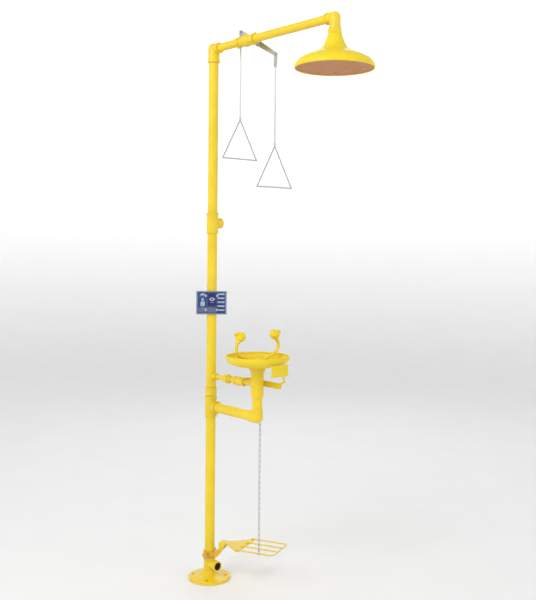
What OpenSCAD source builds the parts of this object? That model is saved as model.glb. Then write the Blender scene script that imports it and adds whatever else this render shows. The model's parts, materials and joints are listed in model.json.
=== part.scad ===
// Emergency safety shower with eye and face wash, on a floor flange.
// The riser stands on the Z axis, the shower arm and the bowl reach toward +X.
// Millimetres. Z = 0 is the underside of the floor flange.

/* [Heights] */
// Height of the shower arm's axis
arm_z = 2280; // [2200:10:2400]
// Height of the supply inlet's axis
inlet_z = 1530; // [1400:10:1700]
// Height of the sign's centre
sign_z = 1188; // [1120:2:1300]
// Height of the eyewash supply line
supply_z = 872; // [860:2:890]
// Height of the drain arm's axis
drain_z = 740; // [700:2:745]
// Height of the bowl's rim
rim_z = 990; // [984:1:1000]

/* [Reach] */
// Shower head's distance from the riser's axis
head_x = 735; // [600:5:850]
// Bowl centre's distance from the riser's axis
bowl_x = 310; // [290:2:330]
// Shower valve's distance from the riser's axis
shower_valve_x = 223; // [190:1:300]
// Eyewash valve's distance from the riser's axis
eye_valve_x = 195; // [185:1:200]

/* [Pipes] */
// Outside diameter of the riser and the drain arm
riser_d = 42.4; // [40:0.1:44]
// Wall of the riser
riser_wall = 3.2; // [2.6:0.1:4]
// Outside diameter of the shower arm
arm_d = 33.7; // [30:0.1:35]
// Wall of the shower arm
arm_wall = 3.2; // [2.6:0.1:4]
// Outside diameter of the eyewash supply pipe
supply_d = 21.3; // [20:0.1:22]
// Wall of the supply pipe
supply_wall = 2.6; // [2:0.1:3.2]
// Radial gap between a pipe and its socket
thread_gap = 0.1; // [0.06:0.01:0.15]
// Depth that a pipe enters a fitting
socket_depth = 18; // [14:1:20]
// Wall of a cast fitting
casting_wall = 3.4; // [3:0.1:4.5]

/* [Floor flange] */
// Diameter of the floor flange
flange_d = 180; // [170:1:220]
// Thickness of the flange at its edge
flange_edge = 11; // [8:0.5:16]
// Height of the flange's hub
flange_h = 36; // [34:1:45]
// Pitch circle of the floor bolts
bolt_circle = 140; // [130:1:160]
// Diameter of a floor bolt's hole
bolt_hole_d = 13; // [9:0.5:15]

/* [Shower head] */
// Diameter of the shower head's rim
head_d = 298; // [240:2:320]
// Height of the shower head from its neck to its rim
head_h = 128; // [110:1:140]
// Wall of the shower head and the bowl
shell_wall = 3; // [2.5:0.1:4]

/* [Eyewash] */
// Diameter of the bowl's rim
bowl_d = 262; // [250:2:290]
// Diameter of a nozzle head
nozzle_d = 42; // [38:1:46]
// Diameter of a nozzle tube
nozzle_tube_d = 13; // [11:0.5:14]

/* [Shower pull] */
// Half length of the shower valve's lever
lever_half = 130; // [110:1:150]
// Tilt of the shower lever when the water is off
lever_tilt = 30; // [20:1:35]
// Length of a pull rod from its pivot to the handle's tip
pull_len = 375; // [300:5:450]
// Width of a triangular handle
handle_w = 185; // [150:1:200]
// Height of a triangular handle
handle_h = 167; // [130:1:190]

/* [Treadle] */
// Direction of the treadle about the riser
treadle_turn = 25; // [20:1:30]
// Height of the treadle's hinge
hinge_z = 140; // [136:1:150]
// Distance of the treadle's hinge from the riser's axis
hinge_reach = 62; // [58:1:70]
// Distance from the hinge to the chain
chain_reach = 207; // [190:1:215]
// Distance from the hinge to the treadle's tip
tip_reach = 270; // [250:1:290]
// Spread of the treadle's outer rods, centre to centre
treadle_w = 154; // [130:1:160]
// Diameter of the treadle's rods
treadle_rod_d = 6; // [5:0.5:8]

/* [Sign] */
// Width of the sign plate
sign_w = 130; // [100:1:150]
// Height of the sign plate
sign_h = 100; // [80:1:120]
// Direction that the sign faces about the riser
sign_turn = -40; // [-60:1:-20]

/* [Hidden] */
$fn = 48;

gap = 0.3;                                   // between pieces that move past each other
fit = 0.05;                                  // radial, between a pin and its hole
riser_r = riser_d / 2;
riser_bore = riser_r - riser_wall;
arm_r = arm_d / 2;
arm_bore = arm_r - arm_wall;
supply_r = supply_d / 2;
supply_bore = supply_r - supply_wall;
riser_socket = riser_r + thread_gap;
arm_socket = arm_r + thread_gap;
supply_socket = supply_r + thread_gap;
riser_casting = riser_socket + casting_wall; // outside radius of a fitting on the riser
arm_casting = arm_socket + casting_wall;
supply_casting = supply_socket + casting_wall;
band_h = 9;                                  // raised band at a fitting's mouth
band_t = 2;

waste_tee_h = 56;
waste_z = flange_h + waste_tee_h / 2;
waste_reach = 58;
waste_bore = riser_bore - 1.5;               // the outlet's socket
waste_depth = 30;
waste_way = waste_tee_h / 2 - socket_depth - 1; // between the two pipe ends
waste_top = flange_h + waste_tee_h;
tee_half = 44;                               // half length of the drain and inlet tees
drain_reach = 48;
inlet_reach = 45;
inlet_r = 16.65;                             // one inch female thread, as a plain bore
collar_h = 32;
nipple_top = drain_z + tee_half + 21;        // where the riser nipple meets the plug
plug_flange = 2;
middle_bottom = nipple_top + plug_flange;
elbow_drop = 58;
elbow_reach = 42;

valve_half = 56;
valve_r = 22.5;
ball_r = 18;
ball_port = 12;
seat_t = 4;
stem_r = 6;
lever_y = 60;                                // plane of the shower lever
lever_t = 5;
outlet_drop = 44;
neck_z = arm_z - outlet_drop - 18;           // top of the shower head's neck
head_r = head_d / 2;
head_rim_z = neck_z - head_h;
plate_z = head_rim_z + 3;
plate_t = 2.5;
screw_ring = head_r - 39;

treadle_c = cos(treadle_turn);
treadle_s = sin(treadle_turn);
chain_along = hinge_reach + chain_reach;
chain_x = chain_along * treadle_c + treadle_w / 2 * treadle_s;
chain_y = chain_along * treadle_s - treadle_w / 2 * treadle_c;
treadle_rod_r = treadle_rod_d / 2;
rod_z = hinge_z + 28;
eye_lever_y = chain_y;                       // the eyewash lever hangs the chain straight down
eye_ball_r = 12;
eye_port = 7.5;
eye_valve_half = 34;
eye_socket = 12;                             // depth that a supply pipe enters a fitting
eye_valve_r = 16.5;
eye_stem_r = 4.5;

column_r = 25.5;
column_bottom = 822;
column_seam = supply_z + supply_casting + 2; // clear of the supply port
bowl_r = bowl_d / 2;
bowl_floor = rim_z - 47;                     // outside of the bowl's floor
drain_leg_r = 20.5;
strainer_r = 20;
hub_top = bowl_floor;
tube_r = nozzle_tube_d / 2;
tube_bore = tube_r - 2;
bend_r = 38;                                 // bend of a nozzle tube
bend_from = 20;                              // its heading where it leaves the straight part
bend_to = 120;
bend_y = bowl_r - 20 - bend_r;
bend_z = rim_z + 36;
nozzle_r = nozzle_d / 2;
nozzle_wall = 2.6;

// ---- shapes that repeat --------------------------------------------------

module along_x() rotate([0, 90, 0]) children();
module along_y() rotate([-90, 0, 0]) children();

module tube(r, bore, h) {
  difference() {
    cylinder(r = r, h = h);
    translate([0, 0, -1]) cylinder(r = bore, h = h + 2);
  }
}

module hexagon(across, h) cylinder(r = across / sqrt(3), h = h, $fn = 6);

function unit(v) = v / norm(v);

// turns +Z to a direction
module aim(way) rotate([0, acos(unit(way)[2]), atan2(way[1], way[0])]) children();

// a straight bar between two points
module bar(from, to, r) {
  translate(from) aim(to - from) cylinder(r = r, h = norm(to - from));
}

// the same with rounded ends
module rod(from, to, r) {
  bar(from, to, r);
  translate(from) sphere(r = r);
  translate(to) sphere(r = r);
}

// points of a cubic curve
function bezier(a, b, c, d, steps) = [for (i = [0:steps]) let (t = i / steps, s = 1 - t)
  s * s * s * a + 3 * s * s * t * b + 3 * s * t * t * c + t * t * t * d];

function shifted(points, by) = [for (p = points) p + by];
function reversed(points) = [for (i = [len(points) - 1:-1:0]) points[i]];

// outside of a straight fitting along Z, banded at both mouths
module banded(r, h) {
  cylinder(r = r, h = h);
  for (z = [0, h - band_h]) translate([0, 0, z]) cylinder(r = r + band_t, h = band_h);
}

module riser_yellow() color("gold") children();
module steel() color("silver") children();

// ---- riser ---------------------------------------------------------------

module floor_flange() riser_yellow() difference() {
  rotate_extrude() polygon([
    [riser_socket, 0], [flange_d / 2, 0], [flange_d / 2, flange_edge - 2], [flange_d / 2 - 3, flange_edge],
    [riser_casting + 16, flange_edge + 9], [riser_casting + 4, flange_edge + 16],
    [riser_casting + 1, flange_h], [riser_socket, flange_h]
  ]);
  for (turn = [45:90:315]) rotate([0, 0, turn]) translate([bolt_circle / 2, 0, -1])
    cylinder(d = bolt_hole_d, h = flange_edge + 20);
}

module flange_nipple() riser_yellow() translate([0, 0, 4])
  tube(riser_r, riser_bore, flange_h + socket_depth - 4);

module waste_tee() riser_yellow() difference() {
  union() {
    translate([0, 0, flange_h]) cylinder(r = riser_casting, h = waste_tee_h);
    translate([0, 0, waste_z]) along_x() cylinder(r = riser_r, h = waste_reach);
  }
  translate([0, 0, flange_h - 1]) cylinder(r = riser_bore, h = waste_tee_h + 2);
  translate([0, 0, flange_h - 1]) cylinder(r = riser_socket, h = socket_depth + 1);
  translate([0, 0, waste_top - socket_depth]) cylinder(r = riser_socket, h = socket_depth + 1);
  translate([0, 0, waste_z]) along_x() cylinder(r = waste_way, h = waste_reach);
  translate([waste_reach - waste_depth, 0, waste_z]) along_x() cylinder(r = waste_bore, h = waste_depth + 1);
}

module lower_riser_pipe() riser_yellow() translate([0, 0, waste_top - socket_depth])
  tube(riser_r, riser_bore, drain_z - tee_half + socket_depth - (waste_top - socket_depth));

module drain_tee() riser_yellow() difference() {
  union() {
    translate([0, 0, drain_z - tee_half]) banded(riser_casting, 2 * tee_half);
    translate([0, 0, drain_z]) along_x() {
      cylinder(r = riser_casting, h = drain_reach);
      translate([0, 0, drain_reach - band_h]) cylinder(r = riser_casting + band_t, h = band_h);
    }
  }
  translate([0, 0, drain_z - tee_half - 1]) cylinder(r = riser_bore, h = 2 * tee_half + 2);
  translate([0, 0, drain_z - tee_half - 1]) cylinder(r = riser_socket, h = socket_depth + 1);
  translate([0, 0, drain_z + tee_half - socket_depth]) cylinder(r = riser_socket, h = socket_depth + 1);
  translate([0, 0, drain_z]) along_x() {
    cylinder(r = riser_bore, h = drain_reach);
    translate([0, 0, drain_reach - socket_depth]) cylinder(r = riser_socket, h = socket_depth + 1);
  }
}

module riser_nipple() riser_yellow() translate([0, 0, drain_z + tee_half - socket_depth])
  tube(riser_r, riser_bore, nipple_top - (drain_z + tee_half - socket_depth));

// keeps the supply water out of the drain below
module blanking_plug() color("goldenrod") {
  translate([0, 0, nipple_top]) cylinder(r = riser_r, h = plug_flange);
  translate([0, 0, middle_bottom]) cylinder(r = riser_bore - thread_gap, h = 12);
}

module riser_collar() riser_yellow() translate([0, 0, nipple_top + plug_flange / 2 - collar_h / 2])
  tube(riser_casting, riser_socket, collar_h);

module middle_riser_pipe() riser_yellow() difference() {
  translate([0, 0, middle_bottom])
    tube(riser_r, riser_bore, inlet_z - tee_half + socket_depth - middle_bottom);
  translate([0, 0, supply_z]) along_x() cylinder(r = supply_bore, h = riser_r + 1);
}

module inlet_tee() riser_yellow() difference() {
  union() {
    translate([0, 0, inlet_z - tee_half]) banded(riser_casting, 2 * tee_half);
    translate([0, 0, inlet_z]) along_y() {
      cylinder(r = arm_casting, h = inlet_reach);
      translate([0, 0, inlet_reach - band_h]) cylinder(r = arm_casting + band_t, h = band_h);
    }
  }
  translate([0, 0, inlet_z - tee_half - 1]) cylinder(r = riser_bore, h = 2 * tee_half + 2);
  translate([0, 0, inlet_z - tee_half - 1]) cylinder(r = riser_socket, h = socket_depth + 1);
  translate([0, 0, inlet_z + tee_half - socket_depth]) cylinder(r = riser_socket, h = socket_depth + 1);
  translate([0, 0, inlet_z]) along_y() {
    cylinder(r = arm_bore, h = inlet_reach);
    translate([0, 0, inlet_reach - socket_depth]) cylinder(r = inlet_r, h = socket_depth + 1);
  }
}

module upper_riser_pipe() riser_yellow() translate([0, 0, inlet_z + tee_half - socket_depth])
  tube(riser_r, riser_bore, arm_z - elbow_drop + socket_depth - (inlet_z + tee_half - socket_depth));

module top_elbow() riser_yellow() difference() {
  translate([0, 0, arm_z]) {
    sphere(r = riser_casting);
    translate([0, 0, -elbow_drop]) cylinder(r = riser_casting, h = elbow_drop);
    translate([0, 0, -elbow_drop]) cylinder(r = riser_casting + band_t, h = band_h + 3);
    along_x() cylinder(r = arm_casting, h = elbow_reach);
    translate([elbow_reach - band_h, 0, 0]) along_x() cylinder(r = arm_casting + band_t, h = band_h);
  }
  translate([0, 0, arm_z]) {
    sphere(r = arm_bore);
    translate([0, 0, -elbow_drop - 1]) cylinder(r = riser_socket, h = socket_depth + 1);
    translate([0, 0, -elbow_drop]) cylinder(r = arm_bore, h = elbow_drop);
    along_x() cylinder(r = arm_bore, h = elbow_reach + 1);
    translate([elbow_reach - socket_depth, 0, 0]) along_x() cylinder(r = arm_socket, h = socket_depth + 1);
  }
}

// ---- shower arm and its valve --------------------------------------------

valve_left = shower_valve_x - valve_half;
valve_right = shower_valve_x + valve_half;

module arm_nipple() riser_yellow() translate([elbow_reach - socket_depth, 0, arm_z]) along_x()
  tube(arm_r, arm_bore, valve_left + socket_depth - (elbow_reach - socket_depth));

module shower_valve_body() riser_yellow() difference() {
  translate([shower_valve_x, 0, arm_z]) {
    translate([-valve_half, 0, 0]) along_x() cylinder(r = valve_r - 2, h = 2 * valve_half);
    for (x = [-valve_half, valve_half - band_h * 2]) translate([x, 0, 0]) along_x()
      hexagon(2 * valve_r - 1, 2 * band_h);
    sphere(r = ball_r + 8);
    along_y() cylinder(r = stem_r + 8, h = 37);
  }
  translate([shower_valve_x, 0, arm_z]) {
    sphere(r = ball_r + gap);
    translate([-valve_half, 0, 0]) along_x() cylinder(r = ball_port, h = 2 * valve_half);
    for (side = [-1, 1]) {
      translate([side * valve_half, 0, 0]) rotate([0, -90 * side, 0])
        translate([0, 0, -1]) cylinder(r = arm_socket, h = socket_depth + 1);
      translate([side * (ball_r + seat_t), 0, 0]) rotate([0, -90 * side, 0])
        cylinder(r = ball_port + 3, h = ball_r / 2 + seat_t);
    }
    along_y() cylinder(r = stem_r + fit, h = 40);
    translate([0, 30, 0]) along_y() cylinder(r = stem_r + 3, h = 8);
  }
}

// the two soft rings that the ball turns against
module shower_valve_seats() color("white") translate([shower_valve_x, 0, arm_z])
  seats(ball_r, ball_port);

module seats(ball, port) for (side = [-1, 1]) rotate([0, 90 * side, 0]) difference() {
  translate([0, 0, ball / 2 + thread_gap]) cylinder(r = port + 3 - thread_gap, h = ball / 2 + seat_t - thread_gap);
  cylinder(r = port, h = ball + seat_t + 1);
  sphere(r = ball + thread_gap);
}

module shower_gland_nut() steel() translate([shower_valve_x, 37.1, arm_z]) along_y() difference() {
  union() {
    hexagon(22, 6);
    translate([0, 0, -7]) cylinder(r = stem_r + 2.9, h = 7);
  }
  translate([0, 0, -8]) cylinder(r = stem_r + fit, h = 20);
}

module shower_arm_pipe() riser_yellow() translate([valve_right - socket_depth, 0, arm_z]) along_x()
  tube(arm_r, arm_bore, head_x - elbow_reach + socket_depth - (valve_right - socket_depth));

module outlet_elbow() riser_yellow() difference() {
  translate([head_x, 0, arm_z]) {
    sphere(r = arm_casting);
    translate([0, 0, -outlet_drop]) cylinder(r = arm_casting, h = outlet_drop);
    translate([0, 0, -outlet_drop]) cylinder(r = arm_casting + band_t, h = band_h);
    translate([-elbow_reach, 0, 0]) along_x() cylinder(r = arm_casting, h = elbow_reach);
    translate([-elbow_reach, 0, 0]) along_x() cylinder(r = arm_casting + band_t, h = band_h);
  }
  translate([head_x, 0, arm_z]) {
    sphere(r = arm_bore);
    translate([0, 0, -outlet_drop - 1]) cylinder(r = arm_bore, h = outlet_drop + 1);
    translate([0, 0, -outlet_drop - 1]) cylinder(r = arm_socket, h = socket_depth + 1);
    translate([-elbow_reach - 1, 0, 0]) along_x() cylinder(r = arm_bore, h = elbow_reach + 1);
    translate([-elbow_reach - 1, 0, 0]) along_x() cylinder(r = arm_socket, h = socket_depth + 1);
  }
}

// ---- shower head -----------------------------------------------------------

module head_nipple() riser_yellow() translate([head_x, 0, neck_z - 24])
  tube(arm_r, arm_bore, arm_z - outlet_drop + socket_depth - (neck_z - 24));

module neck_nut() riser_yellow() translate([head_x, 0, neck_z]) difference() {
  hexagon(46, arm_z - outlet_drop - neck_z);
  translate([0, 0, -1]) cylinder(r = arm_socket, h = 30);
}

// half outline of the bell, from the neck down to the rim
function bell_curve() = concat(
  bezier([24, 0], [36, -0.18 * head_h], [34, -0.36 * head_h], [65, -0.5 * head_h], 8),
  bezier([65, -0.5 * head_h], [head_r - 42, -0.64 * head_h], [head_r - 2, -0.72 * head_h],
         [head_r, -head_h], 8));

module shower_head() riser_yellow() translate([head_x, 0, neck_z]) {
  outer = bell_curve();
  inner = [for (p = shifted(outer, [-shell_wall, -shell_wall]))
    if (p[0] > arm_socket && p[1] > -head_h) p];
  last = inner[len(inner) - 1];
  rotate_extrude() polygon(concat(
    [[arm_socket, 0]], outer, [[head_r - shell_wall, -head_h]], [[head_r - shell_wall, last[1]]],
    reversed(inner), [[arm_socket, inner[0][1]]]));
  // four posts that carry the spray plate
  for (turn = [45:90:315]) rotate([0, 0, turn])
    translate([screw_ring, 0, plate_z + plate_t - neck_z]) difference() {
      cylinder(r = 5, h = head_h * 0.33 - plate_t - 8);
      translate([0, 0, -1]) cylinder(r = 2 + thread_gap, h = 9);
    }
}

module spray_plate() riser_yellow() translate([head_x, 0, plate_z]) difference() {
  cylinder(r = head_r - shell_wall - thread_gap, h = plate_t);
  for (ring = [1:4]) for (i = [0:ring * 6 - 1]) rotate([0, 0, (i + ring / 2) * 60 / ring])
    translate([ring * 24, 0, -1]) cylinder(r = 2.5, h = plate_t + 2);
  for (turn = [45:90:315]) rotate([0, 0, turn]) translate([screw_ring, 0, -1])
    cylinder(r = 2 + thread_gap, h = plate_t + 2);
}

module plate_screws() steel() for (turn = [45:90:315])
  translate([head_x, 0, plate_z]) rotate([0, 0, turn]) translate([screw_ring, 0, 0]) {
    translate([0, 0, -2.2]) cylinder(r = 4, h = 2.2);
    cylinder(r = 2, h = plate_t + 7);
  }

// ---- sign ------------------------------------------------------------------

sign_gap = 3;                                // the saddle's thickness behind the plate
sign_t = 2;
u_bolt_r = 3;
u_bolt_ring = riser_r + u_bolt_r + thread_gap;
u_bolt_rise = 30;                            // above and below the sign's centre

module on_sign(z) translate([0, 0, sign_z + z]) rotate([0, 0, sign_turn]) children();

module sign_plate() color("royalblue") on_sign(0) difference() {
  translate([riser_r + sign_gap, -sign_w / 2, -sign_h / 2]) cube([sign_t, sign_w, sign_h]);
  for (z = [-u_bolt_rise, u_bolt_rise], y = [-u_bolt_ring, u_bolt_ring])
    translate([riser_r, y, z]) along_x() cylinder(r = u_bolt_r + thread_gap, h = 12);
}

module sign_saddles() steel() for (z = [-u_bolt_rise, u_bolt_rise]) on_sign(z) difference() {
  translate([riser_r - 5, -u_bolt_ring - 7, -8]) cube([sign_gap + 5, 2 * u_bolt_ring + 14, 16]);
  translate([0, 0, -10]) cylinder(r = riser_r + thread_gap, h = 20);
  for (y = [-u_bolt_ring, u_bolt_ring])
    translate([0, y, 0]) along_x() cylinder(r = u_bolt_r + thread_gap, h = 40);
}

module sign_u_bolts() steel() for (z = [-u_bolt_rise, u_bolt_rise]) on_sign(z) {
  rotate([0, 0, 90]) rotate_extrude(angle = 180) translate([u_bolt_ring, 0]) circle(r = u_bolt_r);
  for (y = [-u_bolt_ring, u_bolt_ring]) translate([0, y, 0]) along_x() {
    cylinder(r = u_bolt_r, h = riser_r + sign_gap + sign_t + 7);
    translate([0, 0, riser_r + sign_gap + sign_t]) hexagon(10, 5);
  }
}

// ---- eyewash supply --------------------------------------------------------

boss_end = 42;
union_from = 92;
union_to = 140;
eye_left = eye_valve_x - eye_valve_half;
eye_right = eye_valve_x + eye_valve_half;
column_port = bowl_x - column_r - 14;        // mouth of the column's supply port

module on_supply(x) translate([x, 0, supply_z]) along_x() children();

module supply_boss() riser_yellow() difference() {
  on_supply(riser_r - 8) cylinder(r = supply_casting, h = boss_end - riser_r + 8);
  translate([0, 0, supply_z - 30]) cylinder(r = riser_r + fit, h = 60);
  on_supply(0) cylinder(r = supply_bore, h = boss_end);
  on_supply(boss_end - eye_socket) cylinder(r = supply_socket, h = eye_socket + 1);
}

module supply_nipple() riser_yellow() {
  on_supply(boss_end - eye_socket)
    tube(supply_r, supply_bore, union_from + eye_socket - (boss_end - eye_socket));
  on_supply(union_to - eye_socket)
    tube(supply_r, supply_bore, eye_left + eye_socket - (union_to - eye_socket));
}

module supply_union() riser_yellow() {
  difference() {
    on_supply(union_from) cylinder(r = supply_casting, h = union_to - union_from);
    on_supply(union_from - 1) cylinder(r = supply_bore, h = union_to - union_from + 2);
    on_supply(union_from - 1) cylinder(r = supply_socket, h = eye_socket + 1);
    on_supply(union_to - eye_socket) cylinder(r = supply_socket, h = eye_socket + 1);
  }
  difference() {
    on_supply(union_from + 14) hexagon(2 * supply_casting + 6, 20);
    on_supply(union_from) cylinder(r = supply_casting + thread_gap, h = union_to - union_from);
  }
}

module eyewash_valve_body() riser_yellow() translate([eye_valve_x, 0, supply_z]) difference() {
  union() {
    translate([-eye_valve_half, 0, 0]) along_x() cylinder(r = eye_valve_r - 2, h = 2 * eye_valve_half);
    for (x = [-eye_valve_half, eye_valve_half - 14]) translate([x, 0, 0]) along_x()
      hexagon(2 * eye_valve_r - 1, 14);
    sphere(r = eye_ball_r + 7);
    along_y() cylinder(r = eye_stem_r + 6, h = 26);
  }
  sphere(r = eye_ball_r + gap);
  translate([-eye_valve_half - 1, 0, 0]) along_x() cylinder(r = eye_port, h = 2 * eye_valve_half + 2);
  for (side = [-1, 1]) rotate([0, 90 * side, 0]) {
    translate([0, 0, eye_valve_half - eye_socket]) cylinder(r = supply_socket, h = eye_socket + 1);
    translate([0, 0, eye_ball_r / 2]) cylinder(r = eye_port + 3, h = eye_ball_r / 2 + seat_t);
  }
  along_y() cylinder(r = eye_stem_r + fit, h = 40);
  translate([0, 21, 0]) along_y() cylinder(r = eye_stem_r + 2, h = 6);
}

module eyewash_valve_seats() color("white") translate([eye_valve_x, 0, supply_z])
  seats(eye_ball_r, eye_port);

module eyewash_gland_nut() steel() translate([eye_valve_x, 26, supply_z]) along_y() difference() {
  union() {
    hexagon(17, 5);
    translate([0, 0, -5]) cylinder(r = eye_stem_r + 2 - thread_gap, h = 5);
  }
  translate([0, 0, -6]) cylinder(r = eye_stem_r + fit, h = 20);
}

module supply_pipe() riser_yellow() on_supply(eye_right - eye_socket)
  tube(supply_r, supply_bore, column_port + eye_socket - (eye_right - eye_socket));

// ---- drain and column ------------------------------------------------------

column_bore = drain_leg_r + 0.5;
leg_top = column_bottom + 14;
inner_r = 8;
hub_spigot = 3;

module drain_arm_pipe() riser_yellow() translate([drain_reach - socket_depth, 0, drain_z]) along_x()
  tube(riser_r, riser_bore, bowl_x - elbow_reach + socket_depth - (drain_reach - socket_depth));

module drain_elbow() riser_yellow() translate([bowl_x, 0, drain_z]) difference() {
  union() {
    sphere(r = riser_casting);
    translate([-elbow_reach, 0, 0]) along_x() cylinder(r = riser_casting, h = elbow_reach);
    cylinder(r = drain_leg_r, h = leg_top - drain_z);
    cylinder(r = drain_leg_r + 2.5, h = riser_casting + 8);
  }
  sphere(r = drain_leg_r - casting_wall);
  cylinder(r = drain_leg_r - casting_wall, h = leg_top - drain_z + 1);
  translate([-elbow_reach - 1, 0, 0]) along_x() cylinder(r = drain_leg_r - casting_wall, h = elbow_reach + 1);
  translate([-elbow_reach - 1, 0, 0]) along_x() cylinder(r = riser_socket, h = socket_depth + 1);
}

module column_body() riser_yellow() difference() {
  union() {
    translate([bowl_x, 0, column_bottom]) cylinder(r = column_r, h = column_seam - column_bottom);
    on_supply(column_port) cylinder(r = supply_casting, h = 20);
  }
  translate([bowl_x, 0, leg_top]) cylinder(r = column_bore, h = column_seam - leg_top + 1);
  translate([bowl_x, 0, column_bottom - 1]) cylinder(r = drain_leg_r + thread_gap, h = leg_top - column_bottom + 2);
  on_supply(column_port - 1) cylinder(r = supply_socket, h = eye_socket + 1);
  on_supply(column_port) cylinder(r = inner_r + thread_gap, h = bowl_x - column_port);
}

module column_head() riser_yellow() translate([bowl_x, 0, 0]) difference() {
  rotate_extrude() polygon([
    [strainer_r + thread_gap, column_seam - hub_spigot], [column_bore - thread_gap, column_seam - hub_spigot],
    [column_bore - thread_gap, column_seam], [column_r + 0.8, column_seam], [column_r, column_seam + 3],
    [column_r, hub_top - 34], [column_r + 3, hub_top - 20], [column_r + 8, hub_top - 8],
    [column_r + 9, hub_top], [strainer_r + thread_gap, hub_top]
  ]);
}

module inner_supply_tube() steel() difference() {
  union() {
    on_supply(column_port + eye_socket + thread_gap)
      cylinder(r = inner_r, h = bowl_x - column_port - eye_socket - thread_gap);
    translate([bowl_x, 0, supply_z]) cylinder(r = inner_r, h = manifold_z + 6 - supply_z);
    translate([bowl_x, 0, supply_z]) sphere(r = inner_r);
  }
  on_supply(column_port) cylinder(r = inner_r - 1.5, h = bowl_x - column_port);
  translate([bowl_x, 0, supply_z]) sphere(r = inner_r - 1.5);
  translate([bowl_x, 0, supply_z]) cylinder(r = inner_r - 1.5, h = 200);
}

// ---- bowl ------------------------------------------------------------------

function bowl_curve() = bezier([40, bowl_floor], [0.65 * bowl_r, bowl_floor + 4],
  [bowl_r - 3, bowl_floor + 9], [bowl_r, rim_z], 14);

module bowl() riser_yellow() translate([bowl_x, 0, 0]) {
  outer = bowl_curve();
  inner = [for (p = shifted(outer, [-shell_wall, shell_wall])) if (p[1] < rim_z - 0.5) p];
  rotate_extrude() {
    polygon(concat([[strainer_r + thread_gap, bowl_floor]], outer, [[bowl_r - shell_wall, rim_z]],
      reversed(inner), [[strainer_r + thread_gap, bowl_floor + shell_wall]]));
    translate([bowl_r - 2.4, rim_z - 2.4]) circle(r = 2.4);
  }
}

strainer_z = bowl_floor + shell_wall;
strainer_t = 2.5;
manifold_z = strainer_z + strainer_t + 1;
manifold_r = 14;
manifold_h = 26;

module drain_strainer() steel() translate([bowl_x, 0, strainer_z]) difference() {
  union() {
    cylinder(r = strainer_r + 13, h = strainer_t);
    translate([0, 0, -30]) cylinder(r = strainer_r, h = 31);
  }
  translate([0, 0, -31]) cylinder(r = strainer_r - 3, h = 31);
  translate([0, 0, -1]) cylinder(r = inner_r + fit, h = strainer_t + 2);
  for (i = [0:9]) rotate([0, 0, 36 * i]) translate([13, 0, -1]) cylinder(r = 2.4, h = strainer_t + 2);
}

// ---- nozzles ---------------------------------------------------------------
// Each nozzle tube lies in the plane X = bowl_x: straight from the manifold, then one bend.

nozzle_stub = 12;
head_offset = 30;
tube_end = [bend_y + bend_r * sin(bend_to), bend_z - bend_r * cos(bend_to)];
bend_start = [bend_y + bend_r * sin(bend_from), bend_z - bend_r * cos(bend_from)];
straight = (bend_start[0] - 7) / cos(bend_from);
nozzle_at = tube_end + head_offset * [cos(bend_to), sin(bend_to)];
pin_y = nozzle_r + 3.5;
pin_z = 1.5;
cap_pin_r = 1.5;

module on_side(side) translate([bowl_x, 0, 0]) mirror([0, side < 0 ? 1 : 0, 0]) children();

module tube_path(r) rotate([90, 0, 90]) {
  translate(bend_start) rotate([0, 0, bend_from]) rotate([0, -90, 0]) cylinder(r = r, h = straight);
  for (joint = [bend_start, tube_end]) translate(joint) sphere(r = r);
  translate([bend_y, bend_z]) rotate([0, 0, bend_from - 90])
    rotate_extrude(angle = bend_to - bend_from) translate([bend_r, 0]) circle(r = r);
  translate(tube_end) rotate([0, 0, bend_to]) along_x() cylinder(r = r, h = nozzle_stub);
}

module nozzle_tubes() riser_yellow() for (side = [-1, 1]) on_side(side) difference() {
  tube_path(tube_r);
  tube_path(tube_bore);
}

module manifold() riser_yellow() difference() {
  translate([bowl_x, 0, manifold_z]) cylinder(r = manifold_r, h = manifold_h);
  translate([bowl_x, 0, manifold_z - 1]) cylinder(r = inner_r + fit, h = 7);
  translate([bowl_x, 0, manifold_z]) cylinder(r = tube_bore, h = manifold_h - 6);
  for (side = [-1, 1]) on_side(side) tube_path(tube_r + thread_gap);
}

module at_nozzle(side) on_side(side) translate([0, nozzle_at[0], nozzle_at[1]])
  rotate([bend_to - 90, 0, 0]) children();

module nozzle_heads() riser_yellow() for (side = [-1, 1]) at_nozzle(side) {
  difference() {
    union() {
      intersection() {
        sphere(r = nozzle_r);
        translate([0, 0, -nozzle_r]) cylinder(r = nozzle_r, h = nozzle_r);
      }
      translate([0, 0, nozzle_stub - head_offset - 9]) cylinder(r = tube_r + 3, h = 12);
      for (x = [-7.5, 4.5]) translate([x, 0, 0]) {
        translate([0, nozzle_r - 5, -7]) cube([3, pin_y - nozzle_r + 5, 6.7]);
        translate([0, pin_y - 3, -7]) cube([3, 6, pin_z + 7]);
        translate([0, pin_y, pin_z]) along_x() cylinder(r = 3, h = 3);
      }
    }
    intersection() {
      sphere(r = nozzle_r - nozzle_wall);
      translate([0, 0, -nozzle_r]) cylinder(r = nozzle_r, h = nozzle_r + 1);
    }
    translate([0, 0, -head_offset]) cylinder(r = tube_bore, h = head_offset - 8);
    translate([0, 0, -head_offset]) cylinder(r = tube_r + thread_gap, h = nozzle_stub);
    translate([-10, pin_y, pin_z]) along_x() cylinder(r = cap_pin_r + fit, h = 20);
  }
  translate([-8.5, pin_y, pin_z]) along_x() cylinder(r = cap_pin_r, h = 17);
}

module spray_discs() steel() for (side = [-1, 1]) at_nozzle(side) difference() {
  translate([0, 0, -3]) cylinder(r = nozzle_r - nozzle_wall - 0.4, h = 2.6);
  for (i = [0:5]) rotate([0, 0, 60 * i]) translate([10, 0, -4]) cylinder(r = 1.3, h = 5);
  translate([0, 0, -4]) cylinder(r = 1.3, h = 5);
}

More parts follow.
